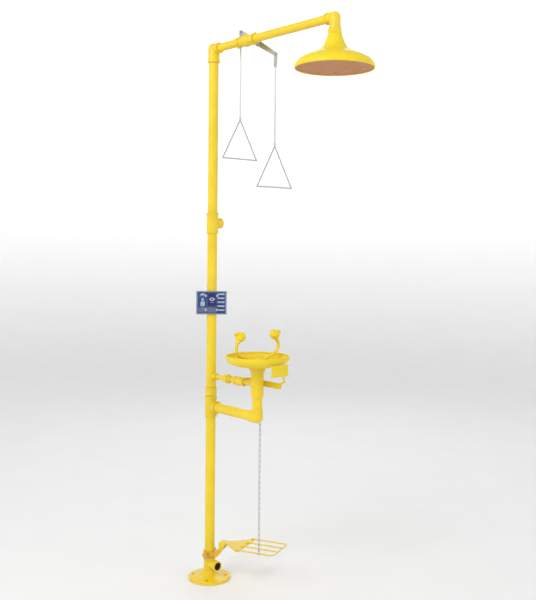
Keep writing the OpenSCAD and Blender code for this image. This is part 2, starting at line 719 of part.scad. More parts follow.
module dust_cap(side) color("yellow") at_nozzle(side) difference() {
  union() {
    intersection() {
      sphere(r = nozzle_r);
      translate([0, 0, gap]) cylinder(r = nozzle_r, h = nozzle_r);
    }
    translate([-4.2, nozzle_r - 3, 0.6]) cube([8.4, pin_y - nozzle_r + 3, 2.6]);
    translate([-4.2, pin_y, pin_z]) along_x() cylinder(r = 3, h = 8.4);
  }
  sphere(r = nozzle_r - nozzle_wall);
  translate([-10, pin_y, pin_z]) along_x() cylinder(r = cap_pin_r + fit, h = 20);
}
module left_dust_cap() dust_cap(-1);
module right_dust_cap() dust_cap(1);

// ---- shower lever and pulls --------------------------------------------------

lever_hole_r = 4;
swivel_drop = 40;                            // from the lever's end to the pull's own pivot
cheek_gap = lever_t / 2 + gap;
cheek_t = 3;

module at_shower_valve() translate([shower_valve_x, 0, arm_z]) children();

module shower_ball_stem() steel() at_shower_valve() {
  difference() {
    sphere(r = ball_r);
    translate([0, 0, -ball_r - 1]) cylinder(r = ball_port, h = 2 * ball_r + 2);
    translate([-2.6, ball_r - 4.5, -ball_r]) cube([5.2, 5, 2 * ball_r]);
  }
  translate([-2.5, ball_r - 4.4, -5]) cube([5, 6, 10]);
  translate([0, ball_r + 0.5, 0]) along_y() cylinder(r = stem_r, h = lever_y + 12 - ball_r);
}

module lever_outline() difference() {
  union() {
    circle(r = 15);
    polygon([[-lever_half, -8], [0, -12], [lever_half, -8], [lever_half, 8], [0, 12], [-lever_half, 8]]);
    for (x = [-lever_half, lever_half]) translate([x, 0]) circle(r = 8);
  }
  circle(r = stem_r + fit);
  for (x = [-lever_half, lever_half]) translate([x, 0]) circle(r = lever_hole_r);
}

module shower_lever() steel() at_shower_valve() {
  translate([0, lever_y - lever_t / 2, 0]) rotate([0, lever_tilt, 0]) along_y()
    linear_extrude(lever_t) lever_outline();
  translate([0, lever_y + lever_t / 2, 0]) along_y() difference() {
    hexagon(19, 7);
    translate([0, 0, -1]) cylinder(r = stem_r + fit, h = 10);
  }
}

module at_lever_end(end) at_shower_valve()
  translate([end * lever_half * cos(lever_tilt), lever_y, -end * lever_half * sin(lever_tilt)])
  children();

// hangs level from a pin in the lever's end and carries the pull
module hook(end) steel() at_lever_end(end) difference() {
  union() {
    for (y = [-cheek_gap - cheek_t, cheek_gap]) {
      translate([-5, y, 4 - swivel_drop + 4]) cube([10, cheek_t, swivel_drop - 8]);
      translate([0, y, 0]) along_y() cylinder(r = 6.5, h = cheek_t);
    }
    translate([-5, -cheek_gap - cheek_t, 5 - swivel_drop]) cube([10, 2 * (cheek_gap + cheek_t), 4]);
    translate([0, -cheek_gap - cheek_t - 2, 0]) along_y()
      cylinder(r = lever_hole_r - fit, h = 2 * (cheek_gap + cheek_t) + 4);
    translate([-2, -5, -swivel_drop]) cube([4, 10, 6]);
    translate([-2, 0, -swivel_drop]) along_x() cylinder(r = 5, h = 4);
  }
  translate([-3, 0, -swivel_drop]) along_x() cylinder(r = 3, h = 6);
}
module on_hook() hook(-1);
module off_hook() hook(1);

wire_r = 3;
weld = 0.6;                                  // how far a weld bead stands out at a handle's corner

// a rod with a triangular handle at its foot
module pull(end) steel() at_lever_end(end) {
  for (x = [-5.3, 2 + gap]) translate([x, 0, 0]) {
    translate([0, 0, -swivel_drop]) along_x() cylinder(r = 4, h = 3);
    translate([0, -4, -swivel_drop - 12]) cube([3, 8, 12]);
  }
  translate([-5.3, -4, -swivel_drop - 13]) cube([10.6, 8, 5.5]);
  translate([-6.3, 0, -swivel_drop]) along_x() cylinder(r = 3 - fit, h = 12.6);
  translate([0, 0, -pull_len + 4]) cylinder(r = wire_r, h = pull_len - swivel_drop - 14);
  translate([0, 0, -pull_len - 6]) cylinder(r = wire_r + 2.2, h = 20);
  corners = [[0, 0, -pull_len], [0, -handle_w / 2, -pull_len - handle_h],
             [0, handle_w / 2, -pull_len - handle_h]];
  for (i = [0:2]) bar(corners[i], corners[(i + 1) % 3], wire_r);
  for (i = [1, 2]) translate(corners[i]) sphere(r = wire_r + weld);
}
module on_pull() pull(-1);
module off_pull() pull(1);

// ---- eyewash lever, push plate and chain -------------------------------------

eye_tip_x = 395;
lever_low = 12;                              // half width of the eyewash lever
chain_hole_drop = 7;
chain_hole_r = 2.8;
push_x = bowl_x + bowl_r + 3;
push_z = rim_z - 50;
push_w = 86;
push_h = 42;
push_t = 3;

module eyewash_ball_stem() steel() translate([eye_valve_x, 0, supply_z]) {
  difference() {
    sphere(r = eye_ball_r);
    translate([0, 0, -eye_ball_r - 1]) cylinder(r = eye_port, h = 2 * eye_ball_r + 2);
    translate([-2.1, eye_ball_r - 3.5, -eye_ball_r]) cube([4.2, 5, 2 * eye_ball_r]);
  }
  translate([-2, eye_ball_r - 3.4, -3.8]) cube([4, 5, 7.6]);
  translate([0, eye_ball_r + 0.5, 0]) along_y()
    cylinder(r = eye_stem_r, h = eye_lever_y + 10 - eye_ball_r);
}

// the bent rod from the lever's tip to the push plate
arm_rod_r = 4;
arm_knuckle_r = arm_rod_r + 0.6;
arm_root = [eye_tip_x - 8, eye_lever_y, supply_z];
arm_bend = [push_x - 14, eye_lever_y - 4, supply_z + 22];
arm_pad = [push_x - 5, 18, push_z - 6];
arm_lean = unit(arm_pad - arm_bend) + unit(arm_bend - arm_root);

module eyewash_lever() riser_yellow() {
  difference() {
    union() {
      translate([eye_valve_x, eye_lever_y - 2.5, supply_z - lever_low])
        cube([eye_tip_x - eye_valve_x, 5, 2 * lever_low]);
      for (x = [eye_valve_x, eye_tip_x]) translate([x, eye_lever_y - 2.5, supply_z])
        along_y() cylinder(r = lever_low, h = 5);
      bar(arm_root, arm_bend, arm_rod_r);
      bar(arm_bend, arm_pad, arm_rod_r);
      translate(arm_root) sphere(r = arm_knuckle_r);
      translate(arm_bend) aim(arm_lean) sphere(r = arm_knuckle_r);
      translate(arm_pad - [arm_rod_r, 0, 0]) along_x() cylinder(r = 9, h = push_x - arm_pad[0] + arm_rod_r);
    }
    translate([eye_valve_x, 0, supply_z]) along_y() cylinder(r = eye_stem_r + fit, h = 80);
    translate([chain_x, 0, supply_z - chain_hole_drop]) along_y() cylinder(r = chain_hole_r, h = 80);
  }
  translate([eye_valve_x, eye_lever_y + 2.5, supply_z]) along_y() difference() {
    hexagon(15, 6);
    translate([0, 0, -1]) cylinder(r = eye_stem_r + fit, h = 10);
  }
}

module push_plate() riser_yellow() {
  translate([push_x, -push_w / 2, push_z - push_h / 2]) cube([push_t, push_w, push_h]);
  translate([push_x - 7, -push_w / 2, push_z + push_h / 2]) cube([7 + push_t, push_w, push_t]);
}

link_wire = 1.25;
link_bend = 3.75;                            // radius of a link's round end
link_count = 31;
link_play = 0.1;
eye_ring = 7.25;
foot_ring = 9.5;
foot_wire = 1.5;
ring_top = supply_z - chain_hole_drop - 0.8; // the ring's wire hangs in the lower part of the hole
foot_z = rod_z - treadle_rod_r - 0.4 + foot_ring - foot_wire;
links_top = ring_top - 2 * eye_ring + 2 * link_wire + link_play;
links_bottom = foot_z + foot_ring - foot_wire - link_wire - link_play;
link_lap = 2 * link_wire + link_play;
link_span = (links_top - links_bottom + (link_count - 1) * link_lap) / link_count;

module ring(r, wire) rotate_extrude() translate([r, 0]) circle(r = wire, $fn = 24);

// one link standing in the plane Y = 0, its top wire's centre at the origin
module link() rotate([90, 0, 0]) {
  for (end = [0, 1]) translate([0, -link_bend - end * (link_span - 2 * link_bend)])
    rotate([0, 0, -180 * end]) rotate_extrude(angle = 180) translate([link_bend, 0])
      circle(r = link_wire, $fn = 24);
  for (x = [-link_bend, link_bend]) translate([x, -link_bend, 0]) rotate([90, 0, 0])
    cylinder(r = link_wire, h = link_span - 2 * link_bend, $fn = 24);
}

module chain() steel() translate([chain_x, chain_y, 0]) {
  translate([0, 0, ring_top - eye_ring]) along_x() ring(eye_ring, link_wire);
  for (i = [0:link_count - 1]) translate([0, 0, links_top - i * (link_span - link_lap)])
    rotate([0, 0, i % 2 * 90]) link();
  translate([0, 0, foot_z]) rotate([0, 0, treadle_turn]) along_x() ring(foot_ring, foot_wire);
}

// ---- treadle -----------------------------------------------------------------

clamp_z = waste_top + 3;
clamp_h = 24;
clamp_t = 6;
clamp_bolt_y = riser_r + clamp_t + 8;
clamp_ear = clamp_bolt_y + 9;
barrel_r = 9;
barrel_half = 14;
hinge_pin_r = 4;
ear_t = 5;
ear_in = barrel_half + gap;
yoke_top = rod_z - treadle_rod_r + 0.5;
yoke_t = 4;
yoke_x = 178;
treadle_tip = hinge_reach + tip_reach;
corner_r = 18;

module on_treadle() rotate([0, 0, treadle_turn]) children();
module across(width) translate([0, width / 2, 0]) rotate([90, 0, 0]) linear_extrude(width) children();

module clamp_half() difference() {
  union() {
    translate([0, 0, clamp_z]) cylinder(r = riser_r + clamp_t, h = clamp_h);
    translate([0, -clamp_ear, clamp_z]) cube([7, 2 * clamp_ear, clamp_h]);
  }
  translate([0, 0, clamp_z - 1]) cylinder(r = riser_r + fit, h = clamp_h + 2);
  translate([-100, -100, clamp_z - 1]) cube([100.5, 200, clamp_h + 2]);
  for (y = [-clamp_bolt_y, clamp_bolt_y]) translate([-1, y, clamp_z + clamp_h / 2])
    along_x() cylinder(r = 4.2, h = 20);
}

module treadle_bracket() color("orange") on_treadle() {
  clamp_half();
  difference() {
    union() {
      across(20) polygon([
        [riser_r + 3, clamp_z + 2], [38, clamp_z + 2], [hinge_reach + 6, hinge_z - 5],
        [hinge_reach - 6, hinge_z + 6], [34, clamp_z + clamp_h], [riser_r + 3, clamp_z + clamp_h]
      ]);
      translate([hinge_reach, -barrel_half, hinge_z]) along_y() cylinder(r = barrel_r, h = 2 * barrel_half);
    }
    translate([hinge_reach, -30, hinge_z]) along_y() cylinder(r = hinge_pin_r + fit, h = 60);
  }
}

module clamp_back() color("orange") on_treadle() rotate([0, 0, 180]) clamp_half();

module clamp_bolts() steel() on_treadle() for (y = [-clamp_bolt_y, clamp_bolt_y])
  translate([0, y, clamp_z + clamp_h / 2]) along_x() {
    translate([0, 0, -15]) cylinder(r = 4, h = 30);
    translate([0, 0, 7]) hexagon(13, 5.3);
    translate([0, 0, -13.5]) hexagon(13, 6.5);
  }

module treadle() riser_yellow() on_treadle() {
  difference() {
    union() {
      translate([0, 0, yoke_top - yoke_t]) linear_extrude(yoke_t) polygon([
        [hinge_reach - 9, -ear_in - ear_t], [hinge_reach + 30, -ear_in - ear_t],
        [yoke_x - 16, -treadle_w / 2 - 4], [yoke_x, -treadle_w / 2 - 4],
        [yoke_x, treadle_w / 2 + 4], [yoke_x - 16, treadle_w / 2 + 4],
        [hinge_reach + 30, ear_in + ear_t], [hinge_reach - 9, ear_in + ear_t]
      ]);
      for (y = [-ear_in - ear_t / 2, ear_in + ear_t / 2]) translate([0, y, 0]) {
        across(ear_t) polygon([
          [hinge_reach - 9, hinge_z], [hinge_reach + 9, hinge_z],
          [hinge_reach + 24, yoke_top - 1], [hinge_reach - 9, yoke_top - 1]
        ]);
        translate([hinge_reach, -ear_t / 2, hinge_z]) along_y() cylinder(r = barrel_r, h = ear_t);
      }
      for (y = [-treadle_w / 6, treadle_w / 6])
        rod([yoke_x - 14, y, rod_z], [treadle_tip, y, rod_z], treadle_rod_r);
      for (side = [-1, 1]) {
        rod([yoke_x - 14, side * treadle_w / 2, rod_z],
            [treadle_tip - corner_r, side * treadle_w / 2, rod_z], treadle_rod_r);
        translate([treadle_tip - corner_r, side * (treadle_w / 2 - corner_r), rod_z])
          rotate([0, 0, side < 0 ? -90 : 0]) rotate_extrude(angle = 90)
          translate([corner_r, 0]) circle(r = treadle_rod_r);
      }
      rod([treadle_tip, -treadle_w / 2 + corner_r, rod_z],
          [treadle_tip, treadle_w / 2 - corner_r, rod_z], treadle_rod_r);
    }
    translate([hinge_reach, -30, hinge_z]) along_y() cylinder(r = hinge_pin_r + fit, h = 60);
  }
  translate([hinge_reach, -ear_in - ear_t - 2, hinge_z]) along_y()
    cylinder(r = hinge_pin_r, h = 2 * (ear_in + ear_t + 2));
}

floor_flange();
flange_nipple();
waste_tee();
lower_riser_pipe();
drain_tee();
riser_nipple();
blanking_plug();
riser_collar();
middle_riser_pipe();
inlet_tee();
upper_riser_pipe();
top_elbow();
arm_nipple();
shower_valve_body();
shower_valve_seats();
shower_gland_nut();
shower_arm_pipe();
outlet_elbow();
head_nipple();
neck_nut();
shower_head();
spray_plate();
plate_screws();
sign_plate();
sign_saddles();
sign_u_bolts();
supply_boss();
supply_nipple();
supply_union();
eyewash_valve_body();
eyewash_valve_seats();
eyewash_gland_nut();
supply_pipe();
drain_arm_pipe();
drain_elbow();
column_body();
column_head();
inner_supply_tube();
bowl();
drain_strainer();
manifold();
nozzle_tubes();
nozzle_heads();
spray_discs();
left_dust_cap();
right_dust_cap();
treadle_bracket();
clamp_back();
clamp_bolts();
shower_ball_stem();
shower_lever();
on_hook();
off_hook();
on_pull();
off_pull();
eyewash_ball_stem();
eyewash_lever();
push_plate();
chain();
treadle();
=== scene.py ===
import json
import math

import bmesh
import bpy
from bpy.props import FloatProperty, FloatVectorProperty, IntProperty, PointerProperty
from bpy.types import Operator, Panel, PropertyGroup
from mathutils import Matrix, Vector


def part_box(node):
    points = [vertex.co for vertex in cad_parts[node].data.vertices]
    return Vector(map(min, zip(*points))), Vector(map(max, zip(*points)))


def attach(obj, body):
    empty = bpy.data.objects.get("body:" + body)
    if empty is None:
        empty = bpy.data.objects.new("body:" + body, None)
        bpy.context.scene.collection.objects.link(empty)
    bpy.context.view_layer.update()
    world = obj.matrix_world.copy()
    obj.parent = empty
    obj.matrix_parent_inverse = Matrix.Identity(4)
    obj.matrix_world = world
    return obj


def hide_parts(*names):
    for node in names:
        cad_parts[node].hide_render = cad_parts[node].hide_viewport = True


bl_info = {
    "name": "Safety Shower Finishes",
    "version": (1, 0, 0),
    "blender": (4, 5, 0),
    "location": "3D View > Sidebar > Safety Shower",
    "description": "Finishes, mouldings, sign and studio for an emergency shower with eyewash",
    "category": "Object",
}

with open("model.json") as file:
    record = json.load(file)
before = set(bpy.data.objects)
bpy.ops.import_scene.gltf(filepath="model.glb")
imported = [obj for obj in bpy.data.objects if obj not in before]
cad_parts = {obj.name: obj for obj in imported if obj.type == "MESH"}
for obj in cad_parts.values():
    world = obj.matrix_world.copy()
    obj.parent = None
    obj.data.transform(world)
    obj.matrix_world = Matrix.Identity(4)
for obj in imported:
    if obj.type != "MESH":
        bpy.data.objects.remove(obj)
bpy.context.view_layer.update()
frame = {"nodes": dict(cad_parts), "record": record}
NODES = frame["nodes"]
STAND = "stand"

CAST = ("floor_flange", "waste_tee", "drain_tee", "blanking_plug", "riser_collar", "inlet_tee",
        "top_elbow", "shower_valve_body", "outlet_elbow", "supply_boss", "supply_union",
        "eyewash_valve_body", "drain_elbow", "column_body", "column_head")
DRAWN = ("flange_nipple", "lower_riser_pipe", "riser_nipple", "middle_riser_pipe",
         "upper_riser_pipe", "arm_nipple", "shower_arm_pipe", "head_nipple", "neck_nut",
         "supply_nipple", "supply_pipe", "drain_arm_pipe", "nozzle_tubes", "eyewash_lever",
         "treadle")
DEEP_COATED = ("treadle_bracket", "clamp_back")
MOULDED = ("shower_head", "bowl", "manifold", "nozzle_heads", "left_dust_cap", "right_dust_cap",
           "push_plate")
BRUSHED = ("shower_lever", "on_hook", "off_hook", "on_pull", "off_pull", "sign_saddles",
           "sign_u_bolts", "plate_screws", "shower_gland_nut", "eyewash_gland_nut", "spray_discs",
           "drain_strainer", "inner_supply_tube", "clamp_bolts")
POLISHED = ("shower_ball_stem", "eyewash_ball_stem")
SEATS = ("shower_valve_seats", "eyewash_valve_seats")


# ---- settings ----------------------------------------------------------------

class CoatingSettings(PropertyGroup):
    """Colours and surface of the coated, moulded and bare metal pieces, and the painted shade given
    to the spray plate.
    """
    coat: FloatVectorProperty(
        name="Pipe coating", description="Colour of the powder coating on the pipework",
        subtype="COLOR", size=3, min=0, max=1, default=(0.83, 0.60, 0.016))
    deep_coat: FloatVectorProperty(
        name="Bracket coating", description="Deeper colour of the treadle's clamp and bracket",
        subtype="COLOR", size=3, min=0, max=1, default=(0.78, 0.44, 0.014))
    moulding: FloatVectorProperty(
        name="Moulding", description="Colour of the bowl, the shower head and the dust caps",
        subtype="COLOR", size=3, min=0, max=1, default=(0.84, 0.64, 0.016))
    # The spray plate's dark orange-brown is painted shade, standing in for the shadow under the
    # shower head.
    spray_plate_painted_shade: FloatVectorProperty(
        name="Spray plate", description="Colour of the spray plate under the shower head",
        subtype="COLOR", size=3, min=0, max=1, default=(0.50, 0.17, 0.012))
    steel: FloatVectorProperty(
        name="Steel", description="Colour of the bare stainless steel",
        subtype="COLOR", size=3, min=0, max=1, default=(0.54, 0.535, 0.51))
    peel: FloatProperty(
        name="Orange peel", description="Size of the ripples in the coating",
        unit="LENGTH", default=0.0035, min=0.001, max=0.02)
    sand: FloatProperty(
        name="Cast grain", description="Depth of the sand grain on the castings",
        unit="LENGTH", default=0.0003, min=0.0, max=0.001)
    grain: FloatProperty(
        name="Moulding grain", description="Size of the grain on the mouldings",
        unit="LENGTH", default=0.0012, min=0.0004, max=0.01)


class MouldingSettings(PropertyGroup):
    """Shapes of the shower head, the bowl and the small mouldings."""
    wall: FloatProperty(
        name="Wall", description="Wall of the shower head and the bowl",
        unit="LENGTH", default=0.003, min=0.002, max=0.005)
    rim_bead: FloatProperty(
        name="Rim bead", description="Radius of the rolled edge of the bowl and the shower head",
        unit="LENGTH", default=0.0024, min=0.001, max=0.004)
    turns: IntProperty(
        name="Segments", description="Segments round a moulding", default=128, min=32, max=256)
    cap_radius: FloatProperty(
        name="Cap radius", description="Radius of a nozzle head and its dust cap",
        unit="LENGTH", default=0.021)
    cap_tilt: FloatProperty(
        name="Cap tilt", description="How far each nozzle leans toward the bowl's middle",
        subtype="ANGLE", default=math.radians(30))
    pin_out: FloatProperty(
        name="Pin distance", description="Cap pin's distance from the nozzle's axis",
        unit="LENGTH", default=0.0245)
    pin_up: FloatProperty(
        name="Pin height", description="Cap pin's height over the cap's seam",
        unit="LENGTH", default=0.0015)
    ribs: IntProperty(name="Ribs", description="Ribs round a dust cap", default=30, min=12, max=60)
    thread_pitch: FloatProperty(
        name="Thread pitch", description="Pitch of the exposed pipe threads",
        unit="LENGTH", default=0.0023, min=0.001, max=0.004)
    thread_depth: FloatProperty(
        name="Thread depth", description="Height of the exposed threads",
        unit="LENGTH", default=0.0006, min=0.0003, max=0.002)


class SignSettings(PropertyGroup):
    """The sign on the riser."""
    facing: FloatProperty(
        name="Facing", description="Direction that the sign faces about the riser",
        subtype="ANGLE", default=math.radians(-40))
    stand_off: FloatProperty(
        name="Stand-off", description="Distance from the riser's axis to the printed face",
        unit="LENGTH", default=0.0262)
    width: FloatProperty(
        name="Width", description="Width of the sign", unit="LENGTH", default=0.130)
    blue: FloatVectorProperty(
        name="Ground", description="Ground colour of the sign",
        subtype="COLOR", size=3, min=0, max=1, default=(0.022, 0.050, 0.20))
    navy: FloatVectorProperty(
        name="Dark panels", description="Colour of the sign's dark panels",
        subtype="COLOR", size=3, min=0, max=1, default=(0.008, 0.014, 0.12))
    pale: FloatVectorProperty(
        name="Pale shapes", description="Colour of the sign's pale shapes and border",
        subtype="COLOR", size=3, min=0, max=1, default=(0.36, 0.43, 0.54))
    slate: FloatVectorProperty(
        name="Lower panel", description="Colour of the sign's lower panel",
        subtype="COLOR", size=3, min=0, max=1, default=(0.10, 0.14, 0.24))


class StudioSettings(PropertyGroup):
    """Floor, lights and camera."""
    camera_bearing: FloatProperty(
        name="Bearing", description="Direction that the camera looks, turned from +Y",
        subtype="ANGLE", default=math.radians(49.2))
    camera_distance: FloatProperty(
        name="Distance", description="Camera's distance from the riser along its view",
        unit="LENGTH", default=3.791)
    camera_side: FloatProperty(
        name="Side step", description="Camera's distance to the side of the riser",
        unit="LENGTH", default=0.2405)
    camera_height: FloatProperty(
        name="Height", description="Camera's height", unit="LENGTH", default=1.441)
    camera_roll: FloatProperty(
        name="Roll", description="Camera's roll about its view",
        subtype="ANGLE", default=math.radians(0.5))
    lens: FloatProperty(name="Lens", description="Focal length in millimetres", default=52.7)
    shift: FloatProperty(name="Shift", description="Vertical shift of the frame", default=-0.093)
    floor: FloatVectorProperty(
        name="Floor", description="Colour of the floor and the backdrop",
        subtype="COLOR", size=3, min=0, max=1, default=(0.90, 0.90, 0.90))


# ---- materials -----------------------------------------------------------------

def new_material(name):
    """A material with an empty Principled shader and its object coordinates."""
    material = bpy.data.materials.new(name)
    material.use_nodes = True
    nodes = material.node_tree.nodes
    shader = nodes["Principled BSDF"]
    place = nodes.new("ShaderNodeTexCoord")
    return material, material.node_tree, shader, place.outputs["Object"]


def noise(tree, place, scale, detail=3.0, rough=0.5):
    """A noise texture of that many waves to the metre."""
    node = tree.nodes.new("ShaderNodeTexNoise")
    node.inputs["Scale"].default_value = scale
    node.inputs["Detail"].default_value = detail
    node.inputs["Roughness"].default_value = rough
    tree.links.new(place, node.inputs["Vector"])
    return node.outputs["Fac"]


def stretched(tree, place, scale):
    """The coordinates scaled unevenly, for a grain that runs one way."""
    node = tree.nodes.new("ShaderNodeMapping")
    node.inputs["Scale"].default_value = scale
    tree.links.new(place, node.inputs["Vector"])
    return node.outputs["Vector"]


def spread(tree, value, low, high, low_in=0.3, high_in=0.7):
    """A value mapped from one range to another."""
    node = tree.nodes.new("ShaderNodeMapRange")
    node.inputs["From Min"].default_value = low_in
    node.inputs["From Max"].default_value = high_in
    node.inputs["To Min"].default_value = low
    node.inputs["To Max"].default_value = high
    tree.links.new(value, node.inputs["Value"])
    return node.outputs["Result"]


def two_tone(tree, value, first, second, low=0.35, high=0.65):
    """A colour between two, chosen by a value."""
    node = tree.nodes.new("ShaderNodeValToRGB")
    node.color_ramp.elements[0].position = low
    node.color_ramp.elements[0].color = (*first, 1)
    node.color_ramp.elements[1].position = high
    node.color_ramp.elements[1].color = (*second, 1)
    tree.links.new(value, node.inputs["Fac"])
    return node.outputs["Color"]


def relief(tree, shader, height, distance, strength):
    """Bumps the shader's normal by a height."""
    node = tree.nodes.new("ShaderNodeBump")
    node.inputs["Distance"].default_value = distance
    node.inputs["Strength"].default_value = strength
    tree.links.new(height, node.inputs["Height"])
    if shader.inputs["Normal"].is_linked:
        tree.links.new(shader.inputs["Normal"].links[0].from_socket, node.inputs["Normal"])
    tree.links.new(node.outputs["Normal"], shader.inputs["Normal"])


def scaled(colour, by):
    """A colour made lighter or darker."""
    return tuple(min(1.0, c * by) for c in colour)


def soft_edges(tree, shader, radius):
    """Rounds the shading over sharp edges."""
    node = tree.nodes.new("ShaderNodeBevel")
    node.samples = 4
    node.inputs["Radius"].default_value = radius
    tree.links.new(node.outputs["Normal"], shader.inputs["Normal"])


def powder_coat(name, colour, peel, sand=0.0):
    """Baked powder coating: orange peel, a thin gloss, and the sand grain of a casting under it."""
    material, tree, shader, place = new_material(name)
    soft_edges(tree, shader, 0.0009)
    if sand:
        speckle = noise(tree, place, 420.0, detail=4.0, rough=0.6)
        relief(tree, shader, speckle, distance=sand, strength=0.8)
    patches = noise(tree, place, 9.0, detail=4.0)
    tree.links.new(two_tone(tree, patches, scaled(colour, 0.93), scaled(colour, 1.04)),
                   shader.inputs["Base Color"])
    gloss = spread(tree, noise(tree, place, 45.0, detail=4.0), 0.26, 0.40)
    tree.links.new(gloss, shader.inputs["Roughness"])
    relief(tree, shader, noise(tree, place, 1 / peel, detail=2.0), distance=0.0004, strength=0.35)
    relief(tree, shader, noise(tree, place, 6 / peel, detail=2.0), distance=0.00008, strength=0.25)
    shader.inputs["Specular IOR Level"].default_value = 0.4
    shader.inputs["Coat Weight"].default_value = 0.12
    shader.inputs["Coat Roughness"].default_value = 0.2
    return material


def moulded_plastic(name, colour, grain):
    """Satin moulded plastic with flow marks and a fine grain."""
    material, tree, shader, place = new_material(name)
    flow = noise(tree, stretched(tree, place, (7, 7, 22)), 1.0, detail=5.0, rough=0.6)
    tree.links.new(two_tone(tree, flow, scaled(colour, 0.95), scaled(colour, 1.03)),
                   shader.inputs["Base Color"])
    tree.links.new(spread(tree, noise(tree, place, 60.0), 0.34, 0.48), shader.inputs["Roughness"])
    relief(tree, shader, noise(tree, place, 1 / grain, detail=2.0), distance=0.0001, strength=0.3)
    shader.inputs["Subsurface Weight"].default_value = 0.06
    shader.inputs["Subsurface Radius"].default_value = (0.006, 0.004, 0.001)
    shader.inputs["Specular IOR Level"].default_value = 0.35
    return material


def brushed_stainless(name, colour):
    """Bare stainless steel, drawn or brushed along its length."""
    material, tree, shader, place = new_material(name)
    lines = noise(tree, stretched(tree, place, (1500, 1500, 30)), 1.0, rough=0.7)
    tree.links.new(two_tone(tree, lines, scaled(colour, 0.82), scaled(colour, 1.12)),
                   shader.inputs["Base Color"])
    tree.links.new(spread(tree, lines, 0.20, 0.42), shader.inputs["Roughness"])
    relief(tree, shader, lines, distance=0.00005, strength=0.3)
    relief(tree, shader, noise(tree, place, 120.0), distance=0.0001, strength=0.15)
    shader.inputs["Metallic"].default_value = 1.0
    return material


def zinc_plate(name):
    """Dull zinc plating with a faint spangle."""
    material, tree, shader, place = new_material(name)
    cells = tree.nodes.new("ShaderNodeTexVoronoi")
    cells.inputs["Scale"].default_value = 900.0
    tree.links.new(place, cells.inputs["Vector"])
    spangle = two_tone(tree, cells.outputs["Distance"], (0.42, 0.43, 0.44), (0.62, 0.62, 0.61))
    tree.links.new(spangle, shader.inputs["Base Color"])
    tree.links.new(spread(tree, noise(tree, place, 300.0), 0.32, 0.5), shader.inputs["Roughness"])
    relief(tree, shader, cells.outputs["Distance"], distance=0.00006, strength=0.3)
    shader.inputs["Metallic"].default_value = 1.0
    return material


def polished_metal(name):
    """Polished plating on the valve balls and stems."""
    material, tree, shader, place = new_material(name)
    swirls = noise(tree, place, 400.0, detail=4.0)
    tree.links.new(two_tone(tree, swirls, (0.74, 0.74, 0.75), (0.86, 0.86, 0.87)),
                   shader.inputs["Base Color"])
    tree.links.new(spread(tree, swirls, 0.06, 0.16), shader.inputs["Roughness"])
    shader.inputs["Metallic"].default_value = 1.0
    return material


def valve_seat_plastic(name):
    """Waxy white plastic of the valve seats."""
    material, tree, shader, place = new_material(name)
    clouds = noise(tree, place, 200.0)
    tree.links.new(two_tone(tree, clouds, (0.80, 0.80, 0.77), (0.9, 0.9, 0.88)),
                   shader.inputs["Base Color"])
    shader.inputs["Roughness"].default_value = 0.55
    return material


def port_shade_iron(name):
    """Bare metal in the open ports of the cast fittings. Its near-black colour is painted shade for
    the dark inside of each port, mottled with brown rust.
    """
    material, tree, shader, place = new_material(name)
    rust = noise(tree, place, 160.0, detail=5.0, rough=0.65)
    tree.links.new(two_tone(tree, rust, (0.025, 0.022, 0.020), (0.11, 0.065, 0.035)),
                   shader.inputs["Base Color"])
    tree.links.new(spread(tree, rust, 0.5, 0.8), shader.inputs["Roughness"])
    relief(tree, shader, rust, distance=0.0003, strength=0.4)
    shader.inputs["Metallic"].default_value = 0.5
    return material


def printed_enamel(name, colour):
    """Screen-printed enamel on the sign."""
    material, tree, shader, place = new_material(name)
    ink = noise(tree, place, 70.0, detail=5.0)
    tree.links.new(two_tone(tree, ink, scaled(colour, 0.9), scaled(colour, 1.08)),
                   shader.inputs["Base Color"])
    tree.links.new(spread(tree, noise(tree, place, 180.0), 0.24, 0.36), shader.inputs["Roughness"])
    relief(tree, shader, noise(tree, place, 900.0), distance=0.00004, strength=0.3)
    return material


def backdrop_paper(name, colour):
    """Matt paper under and behind the shower. Its glow rises up to top_height."""
    top_glow = 0.36
    top_height = 2.0
    material, tree, shader, place = new_material(name)
    tree.links.new(two_tone(tree, noise(tree, place, 3.0), scaled(colour, 0.985), colour),
                   shader.inputs["Base Color"])
    shader.inputs["Roughness"].default_value = 0.9
    shader.inputs["Specular IOR Level"].default_value = 0.1
    height = tree.nodes.new("ShaderNodeSeparateXYZ")
    tree.links.new(place, height.inputs["Vector"])
    shader.inputs["Emission Color"].default_value = (1, 1, 1, 1)
    tree.links.new(spread(tree, height.outputs["Z"], 0.0, top_glow, 0.0, top_height),
                   shader.inputs["Emission Strength"])
    return material


def dress(names, material):
    """Gives CAD nodes a material."""
    for name in names:
        for slot in NODES[name].material_slots:
            slot.material = material


# ---- mesh helpers ------------------------------------------------------------

def add_mesh(name, build, material, body=STAND, matrix=None, crease=35):
    """A new piece from a function that fills a bmesh. It rides on a body."""
    mesh = bpy.data.meshes.new(name)
    shape = bmesh.new()
    build(shape)
    if matrix is not None:
        bmesh.ops.transform(shape, matrix=matrix, verts=shape.verts)
    bmesh.ops.recalc_face_normals(shape, faces=shape.faces)
    shape.to_mesh(mesh)
    shape.free()
    mesh.shade_smooth()
    mesh.set_sharp_from_angle(angle=math.radians(crease))
    piece = bpy.data.objects.new(name, mesh)
    bpy.context.scene.collection.objects.link(piece)
    mesh.materials.append(material)
    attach(piece, body)
    return piece


def turned(shape, profile, angle):
    """The vertices of an outline of (radius, height) points, turned about Z."""
    c, s = math.cos(angle), math.sin(angle)
    return [shape.verts.new((r * c, r * s, z)) for r, z in profile]


def join_turns(shape, turns, closed=True):
    """Faces between each turned outline and the next, all the way round."""
    count = len(turns[0])
    last = count if closed else count - 1
    for i, here in enumerate(turns):
        there = turns[(i + 1) % len(turns)]
        for j in range(last):
            k = (j + 1) % count
            shape.faces.new((here[j], there[j], there[k], here[k]))


